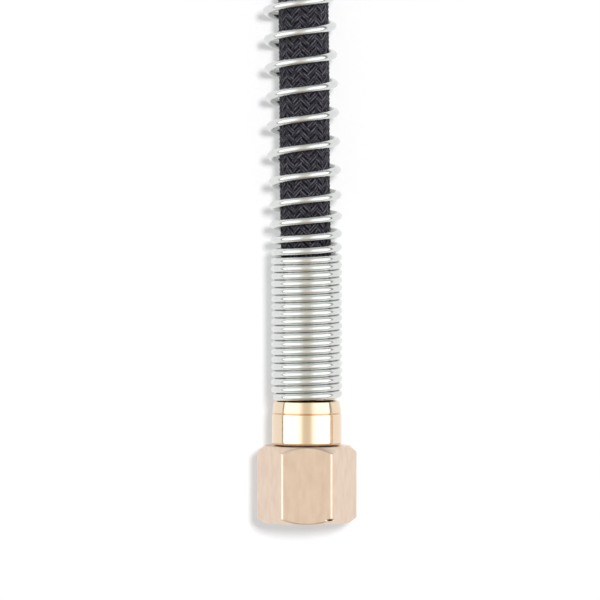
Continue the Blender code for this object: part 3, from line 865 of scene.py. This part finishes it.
def nut_material():
    """Satin brass, a little mottled, brushed along the nut, with shade painted into the nick."""
    material, tree, shader = new_material("satin brass", NUT_BRASS, roughness=0.33, metallic=1.0)
    mottle = object_noise(tree, scale=900, stretch=(1.0, 0.35, 1.0), detail=4.0)
    brass = ramp(tree, mottle, NUT_SHADES)
    # painted shade: the brass darkens towards the nick's colour where the dent is deep
    nick_shade, _ = pattern_places(tree, "nick")
    colour = blended(tree, ranged(tree, nick_shade, low=0.15, high=0.6), brass, NICK_PAINTED_SHADE)
    tree.links.new(colour, shader.inputs["Base Color"])
    brushed = object_noise(tree, scale=2600, stretch=(1.0, 0.12, 1.0), detail=2.0)
    add_bump(tree, shader, brushed, distance=0.02 * MM, strength=0.6)
    return material


def ferrule_material():
    """Polished brass with the fine rings of its turning, duller where it was handled."""
    material, tree, shader = new_material("polished brass", FERRULE_BRASS, roughness=0.10, metallic=1.0)
    rings = object_noise(tree, scale=5000, stretch=(0.02, 1.0, 0.02), detail=2.0)
    add_bump(tree, shader, rings, distance=0.004 * MM, strength=0.5)
    handling = object_noise(tree, scale=400, detail=5.0)
    roughness = ranged(tree, handling, low=0.35, high=0.75, to_low=0.08, to_high=0.15)
    connect(tree, roughness, shader.inputs["Roughness"])
    return material


def wire_material():
    """Bright plated wire with the faint lines of its drawing die."""
    material, tree, shader = new_material("bright zinc wire", ZINC, roughness=0.15, metallic=1.0)
    around, along = pattern_places(tree, "wire")
    lines = pattern_noise(tree, around, along, across_scale=30.0, along_scale=0.3)
    plating = object_noise(tree, scale=700, detail=4.0)
    tree.links.new(ramp(tree, plating, ZINC_SHADES), shader.inputs["Base Color"])
    roughness = ranged(tree, plating, low=0.3, high=0.7, to_low=0.11, to_high=0.19)
    connect(tree, roughness, shader.inputs["Roughness"])
    add_bump(tree, shader, lines, distance=0.006 * MM, strength=0.5)
    return material


def braid_material():
    """Charcoal yarns of a few round filaments each, with shade painted between the filaments and at the
    yarns' edges, and uneven along them.
    """
    material, tree, shader = new_material("charcoal braid", CHARCOAL, roughness=0.5)
    shader.inputs["Specular IOR Level"].default_value = 0.25
    across, along = pattern_places(tree, "yarn")
    # painted shade: the colour darkens in the valleys between the filaments, and varies at random along
    # the yarns
    turns = calculate(tree, "MULTIPLY", across, FILAMENTS * math.tau)
    height = calculate(tree, "MULTIPLY_ADD", calculate(tree, "COSINE", turns), -0.5, 0.5)
    noise = pattern_noise(tree, across, along, across_scale=2.4, along_scale=1.1)
    unevenness = ranged(tree, noise, low=0.36, high=0.64, to_low=0.16, to_high=1.0)
    shade = calculate(tree, "MULTIPLY", height, unevenness)
    # painted shade towards each yarn's edges
    middle = calculate(tree, "SINE", calculate(tree, "MULTIPLY", across, math.pi))
    shade = calculate(tree, "MULTIPLY", shade, ranged(tree, middle, low=0.15, high=0.85))
    tree.links.new(ramp(tree, shade, CHARCOAL_TONES_AND_CREASE_SHADE), shader.inputs["Base Color"])
    add_bump(tree, shader, shade, distance=0.08 * MM)
    return material


def rubber_material():
    """Dull black rubber with a fine grain."""
    material, tree, shader = new_material("hose rubber", RUBBER, roughness=0.7)
    grain = object_noise(tree, scale=2500, detail=3.0)
    roughness = ranged(tree, grain, low=0.3, high=0.7, to_low=0.6, to_high=0.8)
    connect(tree, roughness, shader.inputs["Roughness"])
    add_bump(tree, shader, grain, distance=0.02 * MM, strength=0.5)
    return material


def gasket_material():
    """Pressed sealing fibre, a dull red with paler specks."""
    material, tree, shader = new_material("sealing fibre", FIBRE, roughness=0.8)
    specks = object_noise(tree, scale=3500, detail=5.0)
    tree.links.new(ramp(tree, specks, FIBRE_SHADES), shader.inputs["Base Color"])
    add_bump(tree, shader, specks, distance=0.04 * MM, strength=0.6)
    return material


def strap_material():
    """Black webbing with fine cross ribs."""
    material, tree, shader = new_material("black webbing", WEBBING, roughness=0.75)
    ribs = add_node(tree, "ShaderNodeTexWave", Scale=260.0, Distortion=0.6, Detail=1.0)
    place = add_node(tree, "ShaderNodeTexCoord")
    tree.links.new(place.outputs["Object"], ribs.inputs["Vector"])
    tree.links.new(ramp(tree, ribs.outputs["Fac"], WEBBING_SHADES), shader.inputs["Base Color"])
    add_bump(tree, shader, ribs.outputs["Fac"], distance=0.10 * MM, strength=0.8)
    return material


def dress(piece, body, slot, *nodes):
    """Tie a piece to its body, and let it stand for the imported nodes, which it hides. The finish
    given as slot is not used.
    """
    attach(piece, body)
    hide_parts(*nodes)
    return piece


def make_end(end, end_x, materials):
    """The pieces of one end, in the order in which they lie along it."""
    nut = make_nut(f"{end}_nut_finished", end_x, materials["nut"], nick=end == "near")
    gasket = make_gasket(f"{end}_gasket_finished", end_x, materials["gasket"])
    stem = make_stem(f"{end}_stem_finished", end_x, materials["ferrule"])
    ferrule = make_ferrule(f"{end}_ferrule_finished", end_x, materials["ferrule"])
    guard = make_guard(f"{end}_guard_wire", end_x, materials["wire"])
    dress(nut, f"{end}_union_nut", "nut_brass", f"{end}_nut")
    dress(gasket, "hose", "gasket_fibre", f"{end}_gasket")
    dress(stem, "hose", "ferrule_brass", f"{end}_stem")
    dress(ferrule, "hose", "ferrule_brass", f"{end}_ferrule")
    dress(guard, "hose", "guard_wire", f"{end}_guard")
    return [nut, gasket, stem, ferrule, guard]


def make_braid(surface, material):
    """The braid in three stretches: fine ones where the hose is free and a plainer one coiled."""
    crossing = math.pi * HOSE_RADIUS / YARNS_EACH_WAY
    total = int(surface.length[-1] / crossing)
    near_end = int((COIL_CENTRE_ALONG - RUN_START) / crossing)
    far_start = total - near_end
    stretches = [
        ("near_run", 0, near_end, FREE_BRAID),
        ("coil", near_end, far_start, COILED_BRAID),
        ("far_run", far_start, total, FREE_BRAID),
    ]
    pieces = []
    for name, first, last, fineness in stretches:
        for side, way in (("right", 1), ("left", -1)):
            yarns = make_yarns(f"{name}_yarns_{side}", surface, first, last, way, fineness, material)
            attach(yarns, "hose")
            pieces.append(yarns)
    return pieces


def shadow_floor_shader(tree, shader):
    """The floor glows for the camera and for metal, and still takes the object's shadow."""
    path = add_node(tree, "ShaderNodeLightPath")
    for_camera = calculate(tree, "MULTIPLY", path.outputs["Is Camera Ray"], FLOOR_GLOW)
    for_metal = calculate(tree, "MULTIPLY", path.outputs["Is Glossy Ray"], FLOOR_GLOW_IN_METAL)
    glow = add_node(tree, "ShaderNodeEmission", Color=(*WHITE, 1.0))
    tree.links.new(calculate(tree, "ADD", for_camera, for_metal), glow.inputs["Strength"])
    both = add_node(tree, "ShaderNodeAddShader")
    tree.links.new(shader.outputs[0], both.inputs[0])
    tree.links.new(glow.outputs[0], both.inputs[1])
    tree.links.new(both.outputs[0], tree.nodes["Material Output"].inputs["Surface"])


def make_floor():
    """The white ground that the hose lies on, a part of the stage."""
    mesh = bpy.data.meshes.new("floor")
    half = FLOOR_HALF_WIDTH
    corners = [(-half, -half, 0), (half, -half, 0), (half, half, 0), (-half, half, 0)]
    mesh.from_pydata(corners, [], [(0, 1, 2, 3)])
    material, tree, shader = new_material("white floor", FLOOR_COLOUR, roughness=1.0)
    shader.inputs["Specular IOR Level"].default_value = 0.0
    shadow_floor_shader(tree, shader)
    mesh.materials.append(material)
    floor = bpy.data.objects.new("floor", mesh)
    bpy.context.scene.collection.objects.link(floor)


def make_sun():
    """The light that casts the short soft shadow to the left and towards the nut's face."""
    lamp = bpy.data.lights.new("overhead light", "SUN")
    lamp.energy = SUN_LEVEL * math.pi
    lamp.angle = SUN_WIDTH
    sun = bpy.data.objects.new("overhead light", lamp)
    bpy.context.scene.collection.objects.link(sun)
    sun.rotation_euler = Vector(SUN_DIRECTION).to_track_quat("Z", "Y").to_euler()
    sun.visible_glossy = False


def room_light(tree):
    """What metal mirrors: a bright panel on each side, a duller ceiling, two dim ends, a dark rim."""
    direction = add_node(tree, "ShaderNodeTexCoord").outputs["Generated"]
    split = add_node(tree, "ShaderNodeSeparateXYZ")
    tree.links.new(direction, split.inputs["Vector"])
    x, y, z = split.outputs
    sideways = calculate(tree, "ABSOLUTE", x)
    endways = calculate(tree, "ABSOLUTE", y)
    off_middle = ranged(tree, sideways, *CEILING_SIDES)
    ceiling = blended(tree, off_middle, CEILING_MIDDLE_LIGHT, CEILING_LIGHT)
    along_panels = ranged(tree, endways, *PANEL_ENDS)
    panels = calculate(tree, "MULTIPLY", ranged(tree, sideways, *PANEL_SIDES), along_panels)
    lit = blended(tree, panels, ceiling, PANEL_LIGHT)
    ends = blended(tree, ranged(tree, y, *FRONT_TO_COIL), FRONT_END_LIGHT, COIL_END_LIGHT)
    walls = blended(tree, ranged(tree, endways, *WALL_ENDS), lit, ends)
    rim = blended(tree, ranged(tree, endways, *RIM_ENDS), HORIZON_LIGHT, ends)
    return blended(tree, ranged(tree, z, *RIM_TOP), rim, walls)


def make_world():
    """Even fill light, the room for mirroring metal, and plain white behind the object."""
    world = bpy.data.worlds.new("studio")
    world.use_nodes = True
    tree = world.node_tree
    path = add_node(tree, "ShaderNodeLightPath")
    fill = tuple(FILL_LEVEL * tint for tint in FILL_TINT)
    light = blended(tree, path.outputs["Is Glossy Ray"], fill, room_light(tree))
    light = blended(tree, path.outputs["Is Camera Ray"], light, WHITE)
    tree.links.new(light, tree.nodes["Background"].inputs["Color"])
    bpy.context.scene.world = world


def make_camera():
    """Nearly straight down on the near end from far up, framed like the photograph."""
    camera = bpy.data.cameras.new("camera")
    camera.sensor_width = SENSOR_WIDTH
    camera.lens = SENSOR_WIDTH * CAMERA_DISTANCE / (PICTURE_SIZE * PIXEL)
    camera.clip_start = CAMERA_CLIP_START
    eye = bpy.data.objects.new("camera", camera)
    bpy.context.scene.collection.objects.link(eye)
    x = (PICTURE_SIZE / 2 - AXIS_PIXEL_X) * PIXEL
    y = FACE_Y + (NUT_FACE_PIXEL_Y - PICTURE_SIZE / 2) * PIXEL
    back = CAMERA_DISTANCE * math.sin(CAMERA_LEAN)
    up = CAMERA_DISTANCE * math.cos(CAMERA_LEAN)
    eye.location = (x, y + back, AXIS_HEIGHT + up)
    eye.rotation_euler.x = -CAMERA_LEAN
    bpy.context.scene.camera = eye


def main():
    """Make the camera, the hose with both its ends, and the stage and its light."""
    materials = {
        "nut": nut_material(),
        "ferrule": ferrule_material(),
        "wire": wire_material(),
        "braid": braid_material(),
        "rubber": rubber_material(),
        "gasket": gasket_material(),
        "strap": strap_material(),
    }
    make_camera()
    line = hose_route()
    surface = HoseSurface(line)
    core = make_core(line, materials["rubber"])
    dress(core, "hose", "hose_braid", "hose_run", "hose_coil", "far_run")
    braid = make_braid(surface, materials["braid"])
    make_end("near", 0.0, materials)
    far_pieces = make_end("far", FAR_X, materials)
    strap = dress(make_strap(materials["strap"]), "hose", "strap", "coil_strap")
    for end in ("near", "far"):
        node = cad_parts[f"{end}_hose_end"]
        node.data.materials.clear()
        node.data.materials.append(materials["rubber"])
    make_floor()
    make_sun()
    make_world()
    bpy.context.scene.view_settings.view_transform = "Standard"


main()
